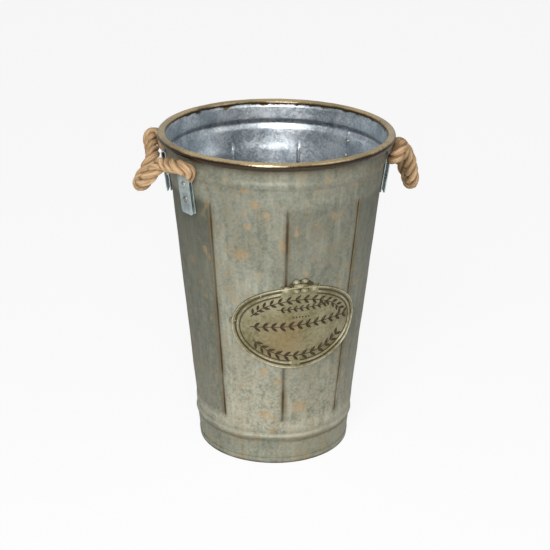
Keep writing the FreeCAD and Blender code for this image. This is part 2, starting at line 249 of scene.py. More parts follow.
@dataclass(frozen=True)
class PatinaZinc:
    """Outside of the bucket: zinc gone green-grey, streaked, with rust spots and grimy creases, and with
    painted shade on some panels, under the rim and under the lower swage, a painted highlight on that
    swage's crest, and painted light on the lower wall.
    """

    name: str = "patinated_zinc"
    dull: Colour = tone(112, 115, 99)
    pale: Colour = tone(172, 172, 155)
    # Pale chalky tone, used for the painted light on the lower wall, the streaks, and the painted highlight
    # on the lower swage.
    chalk_and_highlight: Colour = tone(204, 200, 178)
    olive: Colour = tone(116, 112, 84)
    warm: Colour = tone(146, 130, 98)
    shade: Colour = tone(58, 62, 48)
    brown: Colour = tone(98, 80, 44)
    # Dark brown of the grimy creases and the foot, also used for the painted shade just under the rim.
    dirt_and_shade: Colour = tone(56, 42, 18)
    rust: Colour = tone(180, 142, 88)
    # Heights over which the lower wall turns paler: painted light from below, broken up like chalk.
    lit_foot: tuple[float, float] = (0.17, 0.07)
    # Middle heights of the painted shade line under the lower swage and of the painted highlight on its
    # crest.
    swage_foot: float = 0.0305
    swage_crest: float = 0.038
    above_swage: tuple[float, float] = (0.036, 0.05)
    # Heights over which the wall is drawn darker towards the top.
    top_darkening: tuple[float, float] = (0.2, 0.33)
    # Two bands of painted shade just under the rim.
    under_rim_shade: tuple[float, float] = (0.3575, 0.371)
    rim_shade: tuple[float, float] = (0.368, 0.3745)
    foot_dirt: tuple[float, float] = (0.0035, 0.0005)
    stains: tuple[Stain, ...] = (
        Stain(-34.5, 0.268, 0.016), Stain(-25.5, 0.330, 0.012), Stain(-10.4, 0.282, 0.010),
        Stain(-20.4, 0.066, 0.015), Stain(-20.9, 0.123, 0.013), Stain(4.0, 0.075, 0.016),
        Stain(-57.0, 0.265, 0.009), Stain(-12.0, 0.110, 0.010), Stain(150.0, 0.210, 0.020),
        Stain(-140.0, 0.120, 0.018), Stain(100.0, 0.290, 0.014), Stain(-175.0, 0.300, 0.012),
    )

    def material(self, skin: "Skin") -> bpy.types.Material:
        """Builds the finish.

        Args:
            skin: the surface that the stains lie on.

        Returns:
            The material.
        """
        made, g = fresh_material(self.name)
        cloud = g.grain(11, 5)
        streak = g.grain(1, 4, g.place((150, 150, 6)))
        speck = g.grain(330, 3)
        blot = g.grain(38, 4, g.place((1, 1, 0.6)))
        mottle = g.grain(125, 5, g.place((1, 1, 0.8)), 0.65)
        mixed = cloud * 0.24 + streak * 0.16 + speck * 0.22 + blot * 0.12 + mottle * 0.26
        colour = g.blend(self.dull, self.pale, mixed.step(0.37, 0.63))
        colour = g.blend(colour, self.olive, g.grain(6, 3, g.place((1, 1, 0.5))).step(0.5, 0.7) * 0.4)
        colour = g.blend(colour, self.warm, (mottle * 0.6 + g.grain(24, 4) * 0.5).step(0.52, 0.7) * 0.45)
        height = g.height() + (blot - 0.5) * 0.004
        # Paler low down, as painted light from below broken up like chalk, plus brushed streaks all over.
        glow_and_streaks = height.step(*self.lit_foot) * (mottle * 0.45 + speck * 0.55).step(0.26, 0.66) * 0.55
        glow_and_streaks = glow_and_streaks + streak.step(0.52, 0.78) * cloud.step(0.42, 0.62) * 0.4
        colour = g.blend(colour, self.chalk_and_highlight, glow_and_streaks * height.step(*self.above_swage))
        # Painted shade: each panel's own share, standing in for how the light falls on its facet, and
        # darker towards the top.
        darkening = g.painted("panel") * (0.6 + cloud * 0.8) + height.step(*self.top_darkening) * 0.24
        colour = g.blend(colour, self.shade, darkening)
        spots = g.near((0, 0, -1), 0.1)
        for stain in self.stains:
            spots = spots.over(g.near(skin.point(stain.azimuth, stain.height), stain.reach))
        rusty = (spots.over(0.0) + (g.grain(170, 5) - 0.5) * 2.4) * spots.step(0.0, 0.6)
        fleck = g.grain(85, 5, g.place((1, 1, 0.8), (0.3, 0.5, 0))).step(0.58, 0.74)
        colour = g.blend(colour, self.rust, (rusty.step(0.15, 1.1) * 0.5).over(fleck * 0.5))
        uneven = g.grain(20, 4).step(0.36, 0.62)
        # Painted shade in a line under the lower swage.
        under_swage = height.band(self.swage_foot, 0.0032, 0.2)
        halo = g.painted("halo") * (0.3 + uneven * 0.45) * (0.6 + mottle * 0.8)
        # Brown: the halo beside the creases, and the painted shade under the lower swage and under the rim.
        stained = halo.over(under_swage * (0.35 + uneven * 0.3)).over(height.step(*self.under_rim_shade) * 0.45)
        colour = g.blend(colour, self.brown, stained)
        # Painted highlight along the crest of the lower swage.
        colour = g.blend(colour, self.chalk_and_highlight, height.band(self.swage_crest, 0.003, 0.3) * (mottle * 0.7))
        # Dark in the creases and at the foot, and painted shade just under the rim.
        crease = (g.painted("crease") * (0.6 + blot * 0.7)).step(0.3, 0.9) * (0.45 + uneven * 0.5)
        grime_and_shade = crease.over(height.step(*self.rim_shade) * 0.7).over(height.step(*self.foot_dirt) * 0.7)
        colour = g.blend(colour, self.dirt_and_shade, grime_and_shade)
        g.surface(Base_Color=colour, Metallic=0.2, Roughness=0.44 + speck * 0.16 + grime_and_shade * 0.15,
                  Normal=g.bump(speck * 0.4 + blot * 0.6, 0.0003, 0.5))
        return made


@dataclass(frozen=True)
class SpangledZinc:
    """Inside of the bucket: bright zinc in small crystals, with the rim's paintwork straying over its edge
    and painted shade along the ridges that the creases make.
    """

    name: str = "spangled_zinc"
    deep: Colour = tone(154, 164, 172)
    bright: Colour = tone(244, 249, 252)
    # Colour of the rim's paintwork, also used for painted shade along the crease ridges.
    paint_and_shade: Colour = tone(92, 74, 40)
    paint_edge: tuple[float, float] = (0.3735, 0.3765)

    def material(self) -> bpy.types.Material:
        """Builds the finish."""
        made, g = fresh_material(self.name)
        crystals = g.cells(420)
        fine = g.grain(700, 3)
        cloud = g.grain(30, 5)
        shade = crystals * 0.12 + fine * 0.2 + cloud * 0.7
        colour = g.blend(self.deep, self.bright, shade.step(0.34, 0.76))
        edge = g.height() + (g.grain(70, 5) - 0.5) * 0.02
        colour = g.blend(colour, self.paint_and_shade, edge.step(*self.paint_edge))
        # Painted shade along the ridges that the creases make inside.
        colour = g.blend(colour, self.paint_and_shade, g.painted("crease") * 0.25)
        g.surface(Base_Color=colour, Metallic=0.95, Roughness=0.29 + crystals * 0.1 + fine * 0.1,
                  Normal=g.bump(crystals * 0.2 + fine * 0.3 + cloud * 0.6, 0.0004, 0.28))
        return made


@dataclass(frozen=True)
class AgedBrass:
    """Brass paintwork, brown with age and bright where worn, with a painted highlight along the crown of
    the roll and painted shade under it.
    """

    name: str = "aged_brass"
    bright: Colour = tone(240, 214, 164)
    brown: Colour = tone(58, 42, 20)
    umber: Colour = tone(34, 26, 14)
    grey: Colour = tone(78, 68, 48)
    # Heights of the painted highlight along the crown and of the painted shade under the roll.
    crown: tuple[float, float] = (0.3758, 0.3795)
    underside: tuple[float, float] = (0.3735, 0.371)

    def material(self) -> bpy.types.Material:
        """Builds the finish."""
        made, g = fresh_material(self.name)
        worn = g.grain(34, 5)
        fine = g.grain(240, 4)
        # Painted highlight along the crown of the roll.
        top = g.height().step(*self.crown)
        colour = g.blend(self.brown, self.bright, (worn * 0.5 + fine * 0.2 + top * 0.55).step(0.42, 0.9))
        colour = g.blend(colour, self.grey, g.grain(9, 3).step(0.48, 0.66) * 0.35)
        scab = (g.grain(75, 5) * 0.7 + g.grain(14, 2) * 0.4).step(0.62, 0.72)
        # Painted shade on the underside of the roll.
        under = g.height().step(*self.underside) * 0.6
        colour = g.blend(colour, self.umber, (scab * (1 - top * 0.6)).over(under))
        g.surface(Base_Color=colour, Metallic=0.8, Coat_Weight=0.5,
                  Roughness=0.2 + scab * 0.3 + fine * 0.12,
                  Normal=g.bump(worn * 0.5 + fine * 0.5 - scab * 0.4, 0.0005, 0.5))
        return made


@dataclass(frozen=True)
class PlaqueBrass:
    """The plaque: thin brassy wash over zinc, pale on the raised edges from wear and a painted highlight,
    brown round the relief, and with a painted shadow along the plate's rim.
    """

    name: str = "pressed_plaque"
    field: Colour = tone(152, 147, 118)
    olive: Colour = tone(112, 105, 68)
    pale: Colour = tone(206, 200, 170)
    brown: Colour = tone(54, 37, 12)
    rust: Colour = tone(130, 100, 46)
    stain: Stain = Stain(-8, 0.166, 0.045)
    leaf: bool = False

    def material(self, skin: "Skin") -> bpy.types.Material:
        """Builds the finish, darker for the leaves.

        Args:
            skin: the surface that the plaque lies on.

        Returns:
            The material.
        """
        made, g = fresh_material("leaf_relief" if self.leaf else self.name)
        cloud = g.grain(30, 4)
        fine = g.grain(300, 4)
        colour = g.blend(self.olive, self.field, (cloud * 0.6 + fine * 0.4).step(0.36, 0.62))
        stained = g.near(skin.point(self.stain.azimuth, self.stain.height), self.stain.reach)
        spot = stained + (g.grain(60, 4) - 0.5) * 1.4
        colour = g.blend(colour, self.rust, spot.step(0.0, 1.0) * 0.5)
        relief = g.painted("relief")
        if self.leaf:
            colour = g.blend(colour, self.brown, 0.8 + cloud * 0.3)
        else:
            # Brown where the relief dips, beside the beads and round the crest, and at the plate's very
            # edge, where it is a painted shadow.
            colour = g.blend(colour, self.brown, (relief * -1).step(0.05, 0.5) * 0.85)
            # Paler on the raised relief: wear, and a painted highlight on the raised tops.
            worn = (relief + (fine - 0.5) * 0.8 + (cloud - 0.5) * 1.2).step(0.5, 1.1)
            colour = g.blend(colour, self.pale, worn * 0.75)
        g.surface(Base_Color=colour, Metallic=0.3, Roughness=0.34 + fine * 0.2,
                  Normal=g.bump(fine, 0.0002, 0.5))
        return made


@dataclass(frozen=True)
class BrightMetal:
    """Bare metal: straps, rivets and wire."""

    name: str
    low: Colour
    high: Colour
    roughness: float

    def material(self) -> bpy.types.Material:
        """Builds the finish."""
        made, g = fresh_material(self.name)
        brushed = g.grain(1, 4, g.place((900, 900, 120)))
        cloud = g.grain(90, 4)
        colour = g.blend(self.low, self.high, (cloud * 0.6 + brushed * 0.4).step(0.35, 0.65))
        g.surface(Base_Color=colour, Metallic=0.8, Roughness=self.roughness + brushed * 0.15 + cloud * 0.1,
                  Normal=g.bump(brushed * 0.4 + cloud * 0.6, 0.0002, 0.4))
        return made


@dataclass(frozen=True)
class Jute:
    """Twisted jute: fine fibres along each strand, pale on top, with painted shade between the strands."""

    name: str = "jute_rope"
    shadow: Colour = tone(84, 56, 32)
    middle: Colour = tone(184, 150, 112)
    straw: Colour = tone(228, 196, 154)

    def material(self) -> bpy.types.Material:
        """Builds the finish."""
        made, g = fresh_material(self.name)
        along = g.node("ShaderNodeAttribute", {"attribute_name": "fibre"}, None, "Vector")
        fibres = g.grain(1900, 3, along, 0.6)
        tufts = g.grain(420, 3, along, 0.5)
        patch = g.grain(55, 3)
        shade = fibres * 0.5 + tufts * 0.4 + patch * 0.25
        colour = g.blend(self.middle, self.straw, shade.step(0.5, 0.74))
        colour = g.blend(self.shadow, colour, shade.step(0.36, 0.58))
        # Painted shade between the strands.
        colour = g.blend(colour, self.shadow, g.painted("valley") * 0.55)
        g.surface(Base_Color=colour, Roughness=0.85, Specular_IOR_Level=0.25,
                  Normal=g.bump(fibres * 0.6 + tufts * 0.4, 0.0006, 0.9))
        return made


# ------------------------------------------------------------------------------------------ shapes


def spun(shape: bmesh.types.BMesh, steps: int) -> bmesh.types.BMesh:
    """Turns everything in a bmesh round the Z axis into a closed surface that faces outwards."""
    geom = list(shape.verts) + list(shape.edges)
    bmesh.ops.spin(shape, geom=geom, cent=(0, 0, 0), axis=(0, 0, 1), dvec=(0, 0, 0), angle=FULL_TURN,
                   steps=steps, use_merge=True, use_duplicate=False)
    bmesh.ops.remove_doubles(shape, verts=shape.verts, dist=1e-7)
    bmesh.ops.recalc_face_normals(shape, faces=shape.faces)
    return shape


def outline(points: Sequence[tuple[float, float]], closed: bool = False) -> bmesh.types.BMesh:
    """A chain of edges through (radius, height) points in the XZ plane."""
    shape = bmesh.new()
    corners = [shape.verts.new((x, 0, z)) for x, z in points]
    ends = corners[1:] + (corners[:1] if closed else [])
    for pair in zip(corners, ends):
        shape.edges.new(pair)
    return shape


def pushed(shape: bmesh.types.BMesh, geom: Sequence[object], step: Place, steps: int) -> list[object]:
    """Draws geometry out in equal straight steps, and returns the last of it."""
    made = bmesh.ops.spin(shape, geom=geom, cent=(0, 0, 0), axis=(0, 0, 1), dvec=step, angle=0.0,
                          steps=steps)
    return made["geom_last"]


def rolled(shape: bmesh.types.BMesh, geom: Sequence[object], centre: Place, angle: float,
           steps: int) -> list[object]:
    """Turns geometry round an axis along Y, and returns the last of it."""
    made = bmesh.ops.spin(shape, geom=geom, cent=centre, axis=(0, 1, 0), dvec=(0, 0, 0), angle=angle,
                          steps=steps)
    return made["geom_last"]


def poured(part: bmesh.types.BMesh, whole: bmesh.types.BMesh) -> None:
    """Adds one bmesh to another and frees it."""
    carrier = bpy.data.meshes.new("part")
    part.to_mesh(carrier)
    part.free()
    whole.from_mesh(carrier)
    bpy.data.meshes.remove(carrier)


def curved(kind: str, points: Sequence[Place]) -> bpy.types.Curve:
    """A curve of one open spline of a kind, with these points."""
    data = bpy.data.curves.new("line", "CURVE")
    data.dimensions = "3D"
    data.resolution_u = 24
    spline = data.splines.new(kind)
    spline.points.add(len(points) - 1)
    for control, point in zip(spline.points, points):
        control.co = (*point, 1.0)
    return data


def meshed(data: bpy.types.Curve) -> bpy.types.Mesh:
    """The mesh that a curve makes."""
    carrier = bpy.data.objects.new("line", data)
    mesh = bpy.data.meshes.new_from_object(carrier)
    bpy.data.objects.remove(carrier)
    return mesh


def line_through(points: Sequence[Place]) -> list[Vector]:
    """Points read from the smooth line that has these control points."""
    data = curved("NURBS", points)
    data.splines[0].order_u = 3
    data.splines[0].use_endpoint_u = True
    mesh = meshed(data)
    found = [vert.co.copy() for vert in mesh.vertices]
    bpy.data.meshes.remove(mesh)
    return found


def evenly(points: Sequence[Vector], spacing: float) -> list[Vector]:
    """The same line, walked in equal steps of about the spacing."""
    gaps = [(b - a).length for a, b in zip(points, points[1:])]
    count = max(2, round(sum(gaps) / spacing))
    stride = sum(gaps) / count
    walked, travelled, index = [points[0].copy()], 0.0, 0
    for number in range(1, count):
        target = number * stride
        while travelled + gaps[index] < target:
            travelled += gaps[index]
            index += 1
        walked.append(points[index].lerp(points[index + 1], (target - travelled) / gaps[index]))
    return walked + [points[-1].copy()]


class SubAssembly:
    """Builds named pieces and dresses them."""

    def keep(self, shape: bmesh.types.BMesh, name: str, finishes: Sequence[bpy.types.Material], slot: str,
             stands_for: Sequence[str] = (), body: str | None = "root",
             crease: float = 40) -> bpy.types.Object:
        """Turns a bmesh into a piece of the bucket.

        Args:
            shape: the geometry, which is freed.
            name: the piece's name.
            finishes: its materials, in the order of its face numbers.
            slot: the record's material slot; not used.
            stands_for: the CAD nodes that it replaces.
            body: the body that it rides on, or None.
            crease: the angle in degrees above which an edge stays sharp.

        Returns:
            The piece's object.
        """
        mesh = bpy.data.meshes.new(name)
        shape.to_mesh(mesh)
        shape.free()
        mesh.shade_smooth()
        mesh.set_sharp_from_angle(angle=math.radians(crease))
        for finish in finishes:
            mesh.materials.append(finish)
        piece = bpy.data.objects.new(name, mesh)
        bpy.context.scene.collection.objects.link(piece)
        if body is not None:
            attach(piece, body)
        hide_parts(*stands_for)
        LOG.info("%s: %d faces", name, len(mesh.polygons))
        return piece

    def thicken(self, piece: bpy.types.Object, thickness: float, offset: float = -1.0,
                inner: int = 0) -> None:
        """Gives a sheet its wall, with the number of steps to the inner side's material."""
        wall = piece.modifiers.new("wall", "SOLIDIFY")
        wall.thickness = thickness
        wall.offset = offset
        wall.material_offset = inner
        wall.material_offset_rim = inner

    def soften(self, piece: bpy.types.Object, width: float, segments: int = 2) -> None:
        """Rounds a piece's sharp edges."""
        edge = piece.modifiers.new("edge", "BEVEL")
        edge.width = width
        edge.segments = segments
        edge.limit_method = "ANGLE"
        edge.angle_limit = math.radians(40)
        edge.harden_normals = True


# ---------------------------------------------------------------------------------------- the body


@dataclass(frozen=True)
class Swage:
    """A pressed ring round the wall: height of its middle, half height, and how far it stands out."""

    middle: float
    half: float
    out: float


@dataclass
class Skin:
    """Outer surface of the wall: a taper with two swages, and creases between slightly flat panels.

    Panels are counted round from the first crease. Each panel carries its own painted shade, standing in
    for how the light falls on its facet, and lap_panel is the one with the lapped joint behind it, which is
    not flattened.
    """

    bead: float = 0.0048
    seam: float = 0.007
    swages: tuple[Swage, ...] = (Swage(0.0350, 0.004, 0.0015), Swage(0.3514, 0.007, 0.0020))
    first_crease: float = -51.4
    front_panel: float = 43.25
    panels: int = 9
    crease_span: tuple[float, float] = (0.049, 0.330)
    crease_fade: float = 0.012
    crease_half: float = 0.0026
    crease_depth: float = 0.0017
    halo_half: float = 0.0075
    flatness: float = 0.0013
    crowding: float = 0.7
    dented_from: tuple[float, float] = (0.004, 0.02)
    dented_to: tuple[float, float] = (0.362, 0.372)
    lap_panel: int = 4
    # Painted shade of each panel, standing in for how the light falls on its facet.
    panel_shade: tuple[float, ...] = (0.04, 0.22, 0.3, 0.1, 0.3, 0.05, 0.22, 0.12, 0.5)

    def __post_init__(self) -> None:
        """Takes the taper from the frame: the base ring and the rolled rim."""
        ring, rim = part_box("base_seam_ring")[1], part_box("rim_roll")[1]
        self.rim_height = rim.z - self.bead
        foot_radius, rim_radius = ring.x - SHEET, rim.x + SHEET - 2 * self.bead
        self.slope = (rim_radius - foot_radius) / (self.rim_height - self.seam)
        self.base = foot_radius - self.slope * self.seam

    @property
    def back_panel(self) -> float:
        """Width in degrees of each panel behind the two at the front."""
        return (360 - 2 * self.front_panel) / (self.panels - 2)

    def plain(self, height: float) -> float:
        """Radius of the taper without its pressings."""
        return self.base + self.slope * height

    def panel(self, azimuth: float) -> tuple[float, float]:
        """Share of the way across a panel, and that panel's width in degrees."""
        turn = (azimuth - self.first_crease) % 360
        if turn < 2 * self.front_panel:
            return turn / self.front_panel % 1, self.front_panel
        width = self.back_panel
        return (turn - 2 * self.front_panel) / width % 1, width

    def crowded(self, column: float) -> float:
        """Azimuth of a column counted in panels, with the columns closer together near the creases."""
        whole = math.floor(column + 1e-6)
        share = max(column - whole, 0.0)
        share -= self.crowding * math.sin(FULL_TURN * share) / FULL_TURN
        if whole < 2:
            return self.first_crease + (whole + share) * self.front_panel
        return self.first_crease + 2 * self.front_panel + (whole - 2 + share) * self.back_panel

    def pressed(self, height: float) -> float:
        """How fully the panels and creases are pressed at a height, from 0 to 1."""
        (low, high), fade = self.crease_span, self.crease_fade
        return eased(height, low, low + fade) * (1 - eased(height, high - fade, high))

    def groove(self, azimuth: float, height: float, half: float) -> float:
        """How near a place is to a crease: 1 in its middle, 0 at half and beyond."""
        share, width = self.panel(azimuth)
        gap = min(share, 1 - share) * math.radians(width) * self.plain(height)
        return hump(gap, half) * self.pressed(height)

    def number(self, azimuth: float) -> int:
        """Which panel an azimuth lies in, counted round from the first crease."""
        turn = (azimuth - self.first_crease) % 360
        if turn < 2 * self.front_panel:
            return int(turn / self.front_panel)
        return min(2 + int((turn - 2 * self.front_panel) / self.back_panel), self.panels - 1)

    def radius(self, azimuth: float, height: float, creased: bool = True) -> float:
        """Distance of the surface from the axis.

        Args:
            azimuth: in degrees.
            height: above the foot.
            creased: whether the creases are pressed in.

        Returns:
            The radius.
        """
        share, width = self.panel(azimuth)
        hollow = self.flatness * (width / self.front_panel) ** 2 * 4 * share * (1 - share)
        if self.number(azimuth) == self.lap_panel:
            hollow = 0.0
        out = self.plain(height) - hollow * self.pressed(height)
        out += sum(swage.out * hump(height - swage.middle, swage.half) for swage in self.swages)
        if creased:
            out -= self.crease_depth * self.groove(azimuth, height, self.crease_half)
        spot = outward(azimuth) * 0.11 + Vector((0, 0, height))
        quiet = eased(height, *self.dented_from) * (1 - eased(height, *self.dented_to))
        return out + (noise.noise(spot * 26) * 0.0005 + noise.noise(spot * 85) * 0.00012) * quiet

    def point(self, azimuth: float, height: float, out: float = 0.0, creased: bool = True) -> Vector:
        """A point on the surface, or out from it."""
        return outward(azimuth) * (self.radius(azimuth, height, creased) + out) + Vector((0, 0, height))


@dataclass
class BucketBody(SubAssembly):
    """Wall, rolled rim, base ring and floor."""

    skin: Skin
    zinc: bpy.types.Material
    inside: bpy.types.Material
    brass: bpy.types.Material
    wire: bpy.types.Material
    columns: int = 432
    ring_columns: int = 288
    rows: tuple[tuple[float, int], ...] = (
        (0.0310, 5), (0.0390, 14), (0.0510, 3), (0.0650, 6), (0.3115, 30), (0.3255, 6), (0.3444, 4),
        (0.3584, 16),
    )
    curl: float = math.radians(318)
    floor_height: float = 0.009
    floor_step: tuple[float, float] = (0.058, 0.002)
    play: float = 0.00005

    def wall(self) -> None:
        """Builds the tapered wall, outside and inside."""
        heights = [SHEET]
        for top, count in (*self.rows, (self.skin.rim_height, 4)):
            low = heights[-1]
            heights += [low + (top - low) * (step + 1) / count for step in range(count)]
        shape = spun(outline([(self.skin.plain(height), height) for height in heights]), self.columns)
        crease, halo, panel = (shape.verts.layers.float.new(name) for name in ("crease", "halo", "panel"))
        for vert in shape.verts:
            turn = math.atan2(vert.co.x, -vert.co.y) % FULL_TURN
            azimuth = self.skin.crowded(turn / FULL_TURN * self.skin.panels)
            vert[crease] = self.skin.groove(azimuth, vert.co.z, self.skin.crease_half)
            vert[halo] = self.skin.groove(azimuth, vert.co.z, self.skin.halo_half)
            # Each vertex carries its panel's painted shade.
            vert[panel] = self.skin.panel_shade[self.skin.number(azimuth)] * self.skin.pressed(vert.co.z)
            vert.co = self.skin.point(azimuth, vert.co.z)
        finishes = (self.zinc, self.inside)
        piece = self.keep(shape, "tapered_wall", finishes, "patinated_zinc", ("bucket_wall",))
        self.thicken(piece, SHEET, inner=1)

    def rim(self) -> None:
        """Builds the sheet curled over the rim's wire."""
        start = self.skin.plain(self.skin.rim_height) - SHEET
        centre = Vector((start + self.skin.bead, 0, self.skin.rim_height))
        shape = outline([(start, self.skin.rim_height)])
        rolled(shape, list(shape.verts), centre, self.curl, 32)
        spun(shape, self.ring_columns)
        for vert in shape.verts:
            level = Vector((vert.co.x, vert.co.y, 0))
            middle = level.normalized() * centre.x + Vector((0, 0, centre.z))
            offset = vert.co - middle
            spot = level.normalized() * 0.13
            ripple = noise.noise(spot * 170 + Vector((0, 0, vert.co.z * 90)))
            wave = noise.noise(spot * 60) * 0.00022 + ripple * 0.0001
            vert.co = middle + offset * (1 - max(wave, -0.0001) / self.skin.bead)
        piece = self.keep(shape, "curled_rim", (self.brass,), "aged_brass", ("rim_roll",))
        self.thicken(piece, SHEET)

    def foot(self) -> None:
        """Builds the folded ring round the lower edge."""
        grip = 2 * SHEET
        corners = ((SHEET, 0), (SHEET, self.skin.seam), (0, self.skin.seam), (0, SHEET), (-grip, SHEET),
                   (-grip, self.skin.seam), (-grip - SHEET, self.skin.seam), (-grip - SHEET, 0))
        section = [(self.skin.plain(z) + out, z) for out, z in corners]
        shape = spun(outline(section, True), self.ring_columns)
        sharp = [edge for edge in shape.edges if edge.calc_face_angle(0) > math.radians(60)]
        bmesh.ops.bevel(shape, geom=sharp, offset=0.00035, offset_type="OFFSET", affect="EDGES", segments=2,
                        profile=0.5, material=-1)
        self.keep(shape, "folded_base_ring", (self.zinc,), "patinated_zinc", ("base_seam_ring",))

    def floor(self) -> None:
        """Builds the floor with its raised middle and its flange."""
        (bend, step), level = self.floor_step, self.floor_height
        edge = self.skin.plain(level) - SHEET - self.play
        top = [(0, level + step), (bend - 0.001, level + step), (bend + 0.001, level + step * 0.75),
               (bend + step, level + 0.0002), (bend + 2 * step, level), (edge - 0.0012, level),
               (edge - 0.0003, level - 0.0003), (edge - 0.0001, level - 0.0015),
               (self.skin.plain(SHEET) - SHEET - self.play, SHEET + 0.0001)]
        shape = spun(outline(top), 180)
        piece = self.keep(shape, "dished_floor", (self.inside,), "patinated_zinc", ("bottom_disc",))
        self.thicken(piece, SHEET)

    def dress_frame(self) -> None:
        """Gives the CAD pieces that stay their finish."""
        for node, finish in (("wall_lap_strip", self.inside), ("rim_wire", self.wire)):
            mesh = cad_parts[node].data
            mesh.materials.clear()
            mesh.materials.append(finish)

    def build(self) -> None:
        """Builds every piece."""
        self.wall()
        self.rim()
        self.foot()
        self.floor()
        self.dress_frame()


# -------------------------------------------------------------------------------------- the plaque


@dataclass
class Plaque(SubAssembly):
    """Oval plaque: beaded frame, crest, leaf sprigs and pins.

    Its flat places are (round the wall, height, out from the wall).
    """

    skin: Skin
    brass: bpy.types.Material
    leaf_brass: bpy.types.Material
    steel: bpy.types.Material
    middle: float = 0.180
    half_width: float = 0.0768
    half_height: float = 0.052
    top: float = 0.0009
    border: float = 0.012
    outer_bead: tuple[float, float, float] = (0.0014, 0.0015, 0.0014)
    inner_bead: tuple[float, float, float] = (0.0074, 0.0013, 0.0012)
    angles: int = 256
    crest_half: float = 0.0205
    bow: float = 0.0165
    leaf_length: float = 0.0108
    leaf_width: float = 0.0042
    leaf_height: float = 0.0012
    pins: tuple[tuple[float, float], ...] = (
        (-0.042, 0.220), (-0.072, 0.186), (-0.031, 0.140), (0.049, 0.219), (0.072, 0.178), (0.033, 0.140),
    )

    def oval(self, inset: float, angle: float) -> Vector:
        """Flat place on the oval that lies an inset inside the edge, at an angle in radians."""
        across, up = self.half_width, self.half_height
        if inset <= self.border:
            height = self.middle + (up - inset) * math.sin(angle)
            return Vector(((across - inset) * math.cos(angle), height, 0))
        share = (up - inset) / (up - self.border)
        return Vector(((across - self.border) * share * math.cos(angle),
                       self.middle + (up - self.border) * share * math.sin(angle), 0))

    def wrapped(self, flat: Vector) -> Vector:
        """Flat place laid on the wall."""
        azimuth = math.degrees(flat.x / self.skin.plain(self.middle))
        return self.skin.point(azimuth, flat.y, flat.z, creased=False)

    def relief(self, inset: float, flat: Vector) -> float:
        """Height of the beads above the plate, as a share of the outer bead; below 0 beside them."""
        at, half, _ = self.outer_bead
        value = hump(inset - at, half)
        at, half, tall = self.inner_bead
        notch = 0.0048 - (flat - Vector((-0.002, self.middle - self.half_height + at, 0))).length
        under_crest = flat.y > self.middle and abs(flat.x) < self.crest_half
        if notch < -half and not under_crest:
            value += hump(inset - at, half) * tall / self.outer_bead[2]
            value -= 0.9 * hump(inset - at - 1.8 * half, half) + 0.6 * hump(inset - at + 1.8 * half, half)
        if abs(notch) < 0.0009 and inset < self.border:
            value += hump(notch, 0.0009) * 0.9
        at, half, _ = self.outer_bead
        # The last term dips the plate's very edge, which browns it there as a painted shadow.
        return value - 0.7 * hump(inset - at - 1.8 * half, 0.001) - hump(inset, 0.0006)

    def plate(self) -> None:
        """Builds the oval plate with its two beads."""
        steps = [0.0003 * n for n in range(9)] + [0.0032, 0.0042, 0.0052]
        steps += [0.0058 + 0.0003 * n for n in range(14)] + [0.0106, 0.012]
        steps += [self.border + (self.half_height - self.border) * n / 12 for n in range(1, 13)]
        shape = spun(outline([(len(steps) - 1 - n, 0) for n in range(len(steps))]), self.angles)
        layer = shape.verts.layers.float.new("relief")
        for vert in shape.verts:
            inset = steps[len(steps) - 1 - round(vert.co.length)]
            flat = self.oval(inset, math.atan2(vert.co.y, vert.co.x))
            vert[layer] = self.relief(inset, flat)
            edge = eased(inset, -0.0002, 0.0004)
            flat.z = self.top * edge + max(vert[layer], -0.35) * self.outer_bead[2] * edge
            flat.z += noise.noise(flat * 140) * 0.00012 * edge
            vert.co = self.wrapped(flat)
        bmesh.ops.recalc_face_normals(shape, faces=shape.faces)
        piece = self.keep(shape, "oval_plate", (self.brass,), "pressed_plaque", ("oval_plaque",), crease=70)
        self.thicken(piece, SHEET * 0.75)

    def pillow(self, shape: bmesh.types.BMesh, flat: Vector, size: Vector, turn: float = 0.0,
               pointed: float = 0.0, ribbed: float = 0.0) -> None:
        """Adds a low rounded form to a bmesh of flat places.

        Args:
            shape: the bmesh.
            flat: its middle.
            size: its length, width and height.
            turn: the way that its length points, in radians.
            pointed: how far its ends come to a point, from 0 to 1.
            ribbed: depth of the groove along its middle, as a share of its height.
        """
        lie = Matrix.Rotation(math.pi / 2, 4, "Y")
        made = bmesh.ops.create_uvsphere(shape, u_segments=12, v_segments=7, radius=1.0, matrix=lie)
        heading = Matrix.Rotation(turn, 3, "Z")
        for vert in made["verts"]:
            x, y, z = vert.co
            y *= 1 - pointed * abs(x) ** 1.5
            z *= 1 - ribbed * hump(y, 0.25)
            vert.co = flat + heading @ Vector((x * size.x / 2, y * size.y / 2, z * size.z))

    def ridge(self, shape: bmesh.types.BMesh, points: Sequence[Place], radius: float) -> None:
        """Adds a round bar along a smooth line of flat places."""
        data = curved("POLY", evenly(line_through(points), 0.0012))
        data.bevel_depth = radius
        data.bevel_resolution = 2
        data.use_fill_caps = True
        mesh = meshed(data)
        shape.from_mesh(mesh)
        bpy.data.meshes.remove(mesh)

    def finish_relief(self, shape: bmesh.types.BMesh, name: str, finish: bpy.types.Material) -> None:
        """Lays a bmesh of flat places on the wall and keeps it."""
        bmesh.ops.remove_doubles(shape, verts=shape.verts, dist=1e-6)
        layer = shape.verts.layers.float.new("relief")
        for vert in shape.verts:
            vert[layer] = eased(vert.co.z, self.top + 0.0002, self.top + 0.0013) * 1.7 - 0.7
            vert.co = self.wrapped(vert.co)
        bmesh.ops.recalc_face_normals(shape, faces=shape.faces)
        self.keep(shape, name, (finish,), "pressed_plaque", crease=60)

